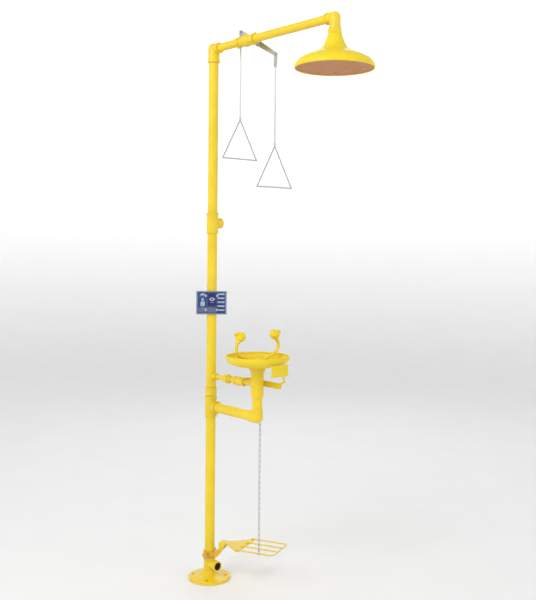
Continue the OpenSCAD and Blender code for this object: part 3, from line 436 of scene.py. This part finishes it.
def lathe(profile, segments, closed=True):
    """A builder that turns an outline of (radius, height) points about Z."""
    def build(shape):
        turns = [turned(shape, profile, math.tau * i / segments) for i in range(segments)]
        join_turns(shape, turns, closed)
    return build


def curve_points(a, b, c, d, steps):
    """Points of a cubic curve from a to d."""
    points = []
    for i in range(steps + 1):
        t = i / steps
        s = 1 - t
        weights = (s * s * s, 3 * s * s * t, 3 * s * t * t, t * t * t)
        points.append(tuple(sum(w * p[k] for w, p in zip(weights, (a, b, c, d))) for k in (0, 1)))
    return points


def arc_points(centre, radius, start, end, steps):
    """Points of an arc in the outline's plane, angles in degrees."""
    points = []
    for i in range(steps + 1):
        a = math.radians(start + (end - start) * i / steps)
        points.append((centre[0] + radius * math.cos(a), centre[1] + radius * math.sin(a)))
    return points


def inset(points, wall):
    """The inner side of a wall whose outer side runs through the points."""
    inner = []
    for i, (r, z) in enumerate(points):
        before = points[max(i - 1, 0)]
        after = points[min(i + 1, len(points) - 1)]
        run = Vector((after[0] - before[0], after[1] - before[1])).normalized()
        inner.append((r + run.y * wall, z - run.x * wall))
    return inner


def frame_at(origin, axis):
    """A matrix that stands Z along an axis at a point."""
    turn = Vector(axis).to_track_quat("Z", "Y").to_matrix().to_4x4()
    return Matrix.Translation(origin) @ turn


def box_corners(name):
    """Lowest and highest corners of a CAD node at rest."""
    low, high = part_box(name)
    return Vector(low), Vector(high)


def main_axis(way):
    """Which of X, Y and Z a direction runs along, as 0, 1 or 2."""
    return max(range(3), key=lambda i: abs(way[i]))


# ---- operators -------------------------------------------------------------------

class SHOWER_OT_finishes(Operator):
    """Coats the pipework and gives every carried-over piece its finish"""
    bl_idname = "safety_shower.finishes"
    bl_label = "Coat and Finish Pieces"

    def execute(self, context):
        look = context.scene.shower_coating
        coat = powder_coat("yellow_powder_coat", look.coat, look.peel)
        cast = powder_coat("cast_powder_coat", look.coat, look.peel, look.sand)
        deep = powder_coat("deep_yellow_powder_coat", look.deep_coat, look.peel)
        plastic = moulded_plastic("yellow_moulding", look.moulding, look.grain)
        dress(DRAWN, coat)
        dress(CAST, cast)
        dress(DEEP_COATED, deep)
        dress(MOULDED, plastic)
        # The spray plate gets a dark orange-brown: painted shade for the shadow under the head.
        dress(("spray_plate",), moulded_plastic("painted_shade_spray_plate", look.spray_plate_painted_shade, look.grain))
        dress(BRUSHED, brushed_stainless("brushed_stainless", look.steel))
        dress(POLISHED, polished_metal("polished_plate"))
        dress(SEATS, valve_seat_plastic("seat_plastic"))
        dress(("chain",), zinc_plate("zinc_plate"))
        return {"FINISHED"}


class SHOWER_OT_head(Operator):
    """Makes the bell-shaped shower head with its rolled rim"""
    bl_idname = "safety_shower.head"
    bl_label = "Make Shower Head"

    def execute(self, context):
        sizes = context.scene.shower_moulding
        low, high = box_corners("shower_head")
        rim = (high.x - low.x) / 2
        height = high.z - low.z
        foot = -height + sizes.rim_bead * 2
        neck = 0.024
        bore = 0.0172
        flare = 0.012
        shoulder = 0.034
        waist = (0.065, -0.5 * height)
        skirt = rim - 0.042
        edge = rim - 0.002
        outer = curve_points((neck, 0), (neck + flare, -0.18 * height),
                             (shoulder, -0.36 * height), waist, 14)
        outer += curve_points(waist, (skirt, -0.64 * height), (edge, -0.72 * height),
                              (rim, foot), 20)[1:]
        bead = arc_points((rim - sizes.rim_bead, -height + sizes.rim_bead), sizes.rim_bead,
                          40, -220, 10)
        inner = [p for p in inset(outer, sizes.wall) if p[0] > bore and p[1] < -0.001]
        profile = outer + bead + list(reversed(inner)) + [(bore, inner[0][1]), (bore, 0)]
        matrix = Matrix.Translation(((low.x + high.x) / 2, (low.y + high.y) / 2, high.z))
        bell = add_mesh("shower_bell", lathe(profile, sizes.turns),
                        bpy.data.materials["yellow_moulding"], matrix=matrix)
        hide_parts("shower_head")
        return {"FINISHED"}


class SHOWER_OT_bowl(Operator):
    """Makes the eyewash bowl with its rolled rim"""
    bl_idname = "safety_shower.bowl"
    bl_label = "Make Bowl"

    def execute(self, context):
        sizes = context.scene.shower_moulding
        low, high = box_corners("bowl")
        rim = (high.x - low.x) / 2
        height = high.z - low.z
        bead_foot = height - sizes.rim_bead * 2
        hole = 0.0202
        flat = (0.040, 0)
        dish = (0.65 * rim, 0.004)
        side = (rim - 0.003, 0.009)
        outer = [(hole, 0), flat]
        outer += curve_points(flat, dish, side, (rim, bead_foot), 28)[1:]
        bead = arc_points((rim - sizes.rim_bead, height - sizes.rim_bead), sizes.rim_bead,
                          -40, 220, 12)
        inner = [p for p in inset(outer, -sizes.wall) if p[1] < bead_foot]
        profile = outer + bead + list(reversed(inner[1:])) + [(hole, sizes.wall)]
        matrix = Matrix.Translation(((low.x + high.x) / 2, (low.y + high.y) / 2, low.z))
        bowl = add_mesh("eyewash_bowl", lathe(profile, sizes.turns),
                        bpy.data.materials["yellow_moulding"], matrix=matrix)
        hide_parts("bowl")
        return {"FINISHED"}


class SHOWER_OT_cap_rings(Operator):
    """Makes the ribbed grip ring round each dust cap and the lip of each nozzle head"""
    bl_idname = "safety_shower.cap_rings"
    bl_label = "Make Cap Rings"

    def execute(self, context):
        sizes = context.scene.shower_moulding
        plastic = bpy.data.materials["yellow_moulding"]
        joints = {joint["name"]: joint for joint in frame["record"]["behaviour"]["joints"]}
        for name, side in (("left", -1), ("right", 1)):
            pin = Vector(joints[f"{name}_dust_cap_flip"]["pos_m"])
            out = Vector((0, side * math.cos(sizes.cap_tilt), math.sin(sizes.cap_tilt)))
            up = Vector((0, -side * math.sin(sizes.cap_tilt), math.cos(sizes.cap_tilt)))
            matrix = frame_at(pin - out * sizes.pin_out - up * sizes.pin_up, up)
            add_mesh(f"{name}_cap_grip", self.grip(sizes), plastic,
                     body=f"{name}_dust_cap", matrix=matrix, crease=50)
            add_mesh(f"{name}_nozzle_lip", lathe(self.lip(sizes), sizes.turns), plastic,
                     matrix=matrix)
        return {"FINISHED"}

    def grip(self, sizes):
        """A ring round the domed cap whose outside runs in and out in ribs."""
        inner = sizes.cap_radius - 0.0006
        skin = 0.0001
        band = 0.0002
        rib_height = 0.0005
        levels = ((0.0009, 0.0), (0.0013, 1.0), (0.0042, 1.0), (0.0052, 0.0))
        wave = (0.5, 1.0, 0.5, 0.0)
        steps = sizes.ribs * len(wave)

        def build(ring):
            turns = []
            for i in range(steps):
                rib = wave[i % len(wave)]
                points = [(inner, levels[-1][0]), (inner, levels[0][0])]
                for height, full in levels:
                    dome = math.sqrt(sizes.cap_radius ** 2 - height ** 2)
                    points.append((dome + skin + full * (band + rib_height * rib), height))
                turns.append(turned(ring, points, math.tau * i / steps))
            join_turns(ring, turns)
        return build

    def lip(self, sizes):
        """Outline of the rounded lip that the cap closes on."""
        centre = (sizes.cap_radius - 0.0004, -0.0016)
        radius = 0.0011
        return arc_points(centre, radius, 0, 345, 15)


class SHOWER_OT_threads(Operator):
    """Makes the exposed threads where a pipe enters a fitting, and lines the open ports with
    near-black threads painted as the shade inside them
    """
    bl_idname = "safety_shower.threads"
    bl_label = "Make Threads and Ports"

    def execute(self, context):
        sizes = context.scene.shower_moulding
        coat = bpy.data.materials["yellow_powder_coat"]
        # The open ports' near-black lining is painted shade for the dark inside of each port.
        port_shade = port_shade_iron("painted_port_shade")
        for name, fitting, way, pipe in self.joints():
            self.thread(sizes, coat, name, fitting, way, pipe)
        for name, fitting, way, radius, depth in (
                ("waste_port_shade_lining", "waste_tee", (1, 0, 0), 0.0163, 0.030),
                ("inlet_port_shade_lining", "inlet_tee", (0, 1, 0), 0.0165, 0.017)):
            self.port(sizes, port_shade, name, fitting, way, radius, depth)
        return {"FINISHED"}

    def joints(self):
        """Each exposed thread: its name, its fitting, the way it leaves it and the pipe."""
        up, down, out, back = (0, 0, 1), (0, 0, -1), (1, 0, 0), (-1, 0, 0)
        return (
            ("drain_tee_lower_thread", "drain_tee", down, "lower_riser_pipe"),
            ("inlet_tee_lower_thread", "inlet_tee", down, "middle_riser_pipe"),
            ("inlet_tee_upper_thread", "inlet_tee", up, "upper_riser_pipe"),
            ("top_elbow_riser_thread", "top_elbow", down, "upper_riser_pipe"),
            ("top_elbow_arm_thread", "top_elbow", out, "arm_nipple"),
            ("shower_valve_inlet_thread", "shower_valve_body", back, "arm_nipple"),
            ("shower_valve_outlet_thread", "shower_valve_body", out, "shower_arm_pipe"),
            ("outlet_elbow_thread", "outlet_elbow", back, "shower_arm_pipe"),
            ("drain_tee_arm_thread", "drain_tee", out, "drain_arm_pipe"),
            ("drain_elbow_thread", "drain_elbow", back, "drain_arm_pipe"),
            ("riser_collar_upper_thread", "riser_collar", up, "middle_riser_pipe"),
            ("eyewash_valve_outlet_thread", "eyewash_valve_body", out, "supply_pipe"),
        )

    def thread(self, sizes, material, name, fitting, way, pipe):
        """Threads on a pipe just outside a fitting, each lower than the one before."""
        crests = 3
        fading = 0.25
        sunk = 0.0004
        gap = 0.0002
        pitch = sizes.thread_pitch
        low, high = box_corners(fitting)
        pipe_low, pipe_high = box_corners(pipe)
        k = main_axis(way)
        origin = (pipe_low + pipe_high) / 2
        origin[k] = high[k] if way[k] > 0 else low[k]
        across = (k + 1) % 3
        radius = (pipe_high[across] - pipe_low[across]) / 2
        profile = [(radius - sunk, 0)]
        for i in range(crests):
            start = i * pitch
            crest = radius + sizes.thread_depth * (1 - fading * i)
            profile += [(radius, start + gap), (crest, start + 0.4 * pitch),
                        (crest, start + 0.55 * pitch)]
        profile += [(radius, crests * pitch), (radius - sunk, crests * pitch)]
        add_mesh(name, lathe(profile, sizes.turns // 2), material,
                 matrix=frame_at(origin, way), crease=60)

    def port(self, sizes, material, name, fitting, way, radius, depth):
        """A threaded lining just inside an open port whose axis crosses the riser's. Its near-black
        finish is painted shade.
        """
        recess = 0.0012
        root_gap = 0.0001
        crest = radius - 0.0011
        pitch = sizes.thread_pitch
        low, high = box_corners(fitting)
        k = main_axis(way)
        origin = (low + high) / 2
        origin[0 if k else 1] = 0
        origin[k] = high[k] - recess
        profile = [(radius, 0)]
        for i in range(int(depth / pitch)):
            start = -i * pitch
            profile += [(radius - root_gap, start - root_gap), (crest, start - 0.45 * pitch)]
        profile += [(crest, -depth), (radius, -depth)]
        add_mesh(name, lathe(profile, sizes.turns // 2), material,
                 matrix=frame_at(origin, way), crease=60)


class SHOWER_OT_sign(Operator):
    """Prints the sign with generic shapes"""
    bl_idname = "safety_shower.sign"
    bl_label = "Make Sign"

    def execute(self, context):
        look = context.scene.shower_sign
        self.look = look
        low, high = box_corners("sign_plate")
        self.height = high.z - low.z
        turn = Matrix.Rotation(look.facing, 4, "Z")
        self.place = Matrix.Translation((0, 0, (low.z + high.z) / 2)) @ turn
        self.pale = printed_enamel("sign_pale", look.pale)
        self.navy = printed_enamel("sign_navy", look.navy)
        self.slate = printed_enamel("sign_slate", look.slate)
        dress(("sign_plate",), printed_enamel("sign_blue", look.blue))
        self.border()
        self.panels()
        self.pictogram()
        return {"FINISHED"}

    def tile(self, name, material, corners, layer=1):
        """A thin printed shape. Its (across, up) corners run from -1 to 1 over the sign."""
        half_w, half_h = self.look.width / 2, self.height / 2
        film = 0.0002
        sunk = 0.0003
        front = self.look.stand_off + film * layer
        back = self.look.stand_off - sunk

        def build(shape):
            ring_front = [shape.verts.new((front, u * half_w, v * half_h)) for u, v in corners]
            ring_back = [shape.verts.new((back, u * half_w, v * half_h)) for u, v in corners]
            shape.faces.new(ring_front)
            shape.faces.new(list(reversed(ring_back)))
            for i in range(len(corners)):
                k = (i + 1) % len(corners)
                shape.faces.new((ring_front[i], ring_back[i], ring_back[k], ring_front[k]))
        add_mesh(name, build, material, matrix=self.place, crease=20)

    def box_tile(self, name, material, left, right, bottom, top, layer=1, corner=0.05):
        """A rectangle with rounded corners."""
        points = []
        ratio = self.look.width / self.height
        for u, v, start in ((right, top, 0), (left, top, 90),
                            (left, bottom, 180), (right, bottom, 270)):
            cu = u - math.copysign(corner, u - (left + right) / 2)
            cv = v - math.copysign(corner * ratio, v - (bottom + top) / 2)
            for x, y in arc_points((0, 0), corner, start, start + 90, 5):
                points.append((cu + x, cv + y * ratio))
        self.tile(name, material, points, layer)

    def border(self):
        """A pale line round the sign."""
        edge = 0.97
        inner = 0.93
        for name, left, right, bottom, top in (
                ("sign_border_top", -edge, edge, inner, edge),
                ("sign_border_foot", -edge, edge, -edge, -inner),
                ("sign_border_left", -edge, -inner, -edge, edge),
                ("sign_border_right", inner, edge, -edge, edge)):
            self.box_tile(name, self.pale, left, right, bottom, top, corner=0.012)

    def panels(self):
        """The dark panels, and a column of bars in place of the print."""
        bar_step = 0.34
        bar_top = 0.80
        self.box_tile("sign_centre_panel", self.navy, -0.22, 0.30, -0.28, 0.80)
        self.box_tile("sign_lower_panel", self.slate, -0.86, 0.30, -0.84, -0.40)
        for i in range(5):
            top = bar_top - i * bar_step
            self.box_tile(f"sign_bar_{i + 1}", self.pale, 0.40, 0.86, top - 0.13, top,
                          corner=0.03)
            self.box_tile(f"sign_band_{i + 1}", self.navy, 0.40, 0.78, top - 0.27, top - 0.18,
                          corner=0.03)

    def pictogram(self):
        """A shower rose over a plain standing figure, and an eye over a jet."""
        ratio = self.look.width / self.height

        def disc(u, v, r):
            return [(u + x, v + y * ratio) for x, y in arc_points((0, 0), r, 0, 345, 23)]

        self.tile("sign_rose", self.pale,
                  [(-0.80, 0.62), (-0.36, 0.62), (-0.50, 0.80), (-0.66, 0.80)])
        for i in range(4):
            self.tile(f"sign_drop_{i + 1}", self.pale, disc(-0.76 + i * 0.12, 0.48, 0.022))
        self.tile("sign_figure_head", self.pale, disc(-0.58, 0.26, 0.085))
        self.box_tile("sign_figure_body", self.pale, -0.72, -0.44, -0.30, 0.10, corner=0.06)
        lens = [(0.04 + x * 0.20, 0.30 + math.copysign(1, y) * (1 - x * x) * 0.16)
                for x, y in arc_points((0, 0), 1.0, 1, 359, 32)]
        self.tile("sign_eye", self.pale, lens, layer=2)
        self.tile("sign_pupil", self.navy, disc(0.04, 0.30, 0.06), layer=3)
        for i in range(3):
            self.tile(f"sign_jet_{i + 1}", self.pale, disc(-0.04 + i * 0.08, 0.02, 0.025),
                      layer=2)


class SHOWER_OT_stage(Operator):
    """Sets the floor, the lights and the camera"""
    bl_idname = "safety_shower.stage"
    bl_label = "Set Stage"

    def execute(self, context):
        look = context.scene.shower_studio
        self.floor(context, look)
        self.lights(context)
        self.camera(context, look)
        return {"FINISHED"}

    def floor(self, context, look):
        """A round floor that curves up into a wall on every side."""
        flat = 7.0
        sweep = 3.0
        top = 9.0
        under = 0.0005
        outline = [(0.001, 0.0), (flat, 0.0)]
        outline += arc_points((flat, sweep), sweep, -90, 0, 12)[1:] + [(flat + sweep, top)]
        mesh = bpy.data.meshes.new("backdrop")
        shape = bmesh.new()
        lathe(outline, 96, closed=False)(shape)
        bmesh.ops.translate(shape, vec=(0, 0, -under), verts=shape.verts)
        shape.to_mesh(mesh)
        shape.free()
        mesh.shade_smooth()
        paper = bpy.data.objects.new("backdrop", mesh)
        context.scene.collection.objects.link(paper)
        mesh.materials.append(backdrop_paper("backdrop_paper", look.floor))

    def lights(self, context):
        """An even sky and three soft lamps aimed at the shower's middle."""
        world = bpy.data.worlds.new("studio")
        world.use_nodes = True
        sky = world.node_tree.nodes["Background"]
        sky.inputs["Color"].default_value = (1.0, 1.0, 1.0, 1)
        sky.inputs["Strength"].default_value = 0.5
        context.scene.world = world
        context.scene.view_settings.view_transform = "Standard"
        aim = Vector((0.3, 0.0, 1.3))
        for name, place, size, power in (
                ("key_light", (0.9, -3.6, 3.8), 2.0, 78),
                ("fill_light", (4.2, 0.8, 2.2), 2.6, 15),
                ("back_light", (-2.2, 2.6, 3.4), 2.0, 24)):
            data = bpy.data.lights.new(name, "AREA")
            data.size = size
            data.energy = power
            lamp = bpy.data.objects.new(name, data)
            lamp.location = place
            lamp.rotation_euler = (aim - Vector(place)).to_track_quat("-Z", "Y").to_euler()
            context.scene.collection.objects.link(lamp)

    def camera(self, context, look):
        """A camera that looks level across the riser."""
        bearing = look.camera_bearing
        side = Vector((math.cos(bearing), math.sin(bearing), 0))
        toward = Vector((math.sin(bearing), -math.cos(bearing), 0))
        data = bpy.data.cameras.new("camera")
        data.lens = look.lens
        data.sensor_width = 36
        data.sensor_fit = "AUTO"
        data.shift_y = look.shift
        data.clip_end = 60
        camera = bpy.data.objects.new("camera", data)
        place = side * look.camera_side + toward * look.camera_distance
        place.z = look.camera_height
        camera.matrix_world = (Matrix.Translation(place) @ Matrix.Rotation(bearing, 4, "Z")
                               @ Matrix.Rotation(math.radians(90), 4, "X")
                               @ Matrix.Rotation(look.camera_roll, 4, "Z"))
        context.scene.collection.objects.link(camera)
        context.scene.camera = camera


class SHOWER_PT_panel(Panel):
    """Lists the steps that finish the shower"""
    bl_idname = "SHOWER_PT_panel"
    bl_label = "Safety Shower"
    bl_space_type = "VIEW_3D"
    bl_region_type = "UI"
    bl_category = "Safety Shower"

    def draw(self, context):
        for step in STEPS:
            self.layout.operator(step.bl_idname)
        for group in GROUPS:
            settings = getattr(context.scene, group)
            for name in settings.__annotations__:
                self.layout.prop(settings, name)


STEPS = (SHOWER_OT_stage, SHOWER_OT_finishes, SHOWER_OT_head, SHOWER_OT_bowl,
         SHOWER_OT_cap_rings, SHOWER_OT_threads, SHOWER_OT_sign)
GROUPS = {
    "shower_coating": CoatingSettings,
    "shower_moulding": MouldingSettings,
    "shower_sign": SignSettings,
    "shower_studio": StudioSettings,
}


def register():
    for group in GROUPS.values():
        bpy.utils.register_class(group)
    for step in STEPS:
        bpy.utils.register_class(step)
    bpy.utils.register_class(SHOWER_PT_panel)
    for name, group in GROUPS.items():
        setattr(bpy.types.Scene, name, PointerProperty(type=group))


def unregister():
    for name in GROUPS:
        delattr(bpy.types.Scene, name)
    bpy.utils.unregister_class(SHOWER_PT_panel)
    for step in reversed(STEPS):
        bpy.utils.unregister_class(step)
    for group in reversed(list(GROUPS.values())):
        bpy.utils.unregister_class(group)


def main():
    register()
    for step in STEPS:
        area, name = step.bl_idname.split(".")
        getattr(getattr(bpy.ops, area), name)()


if __name__ == "__main__":
    main()
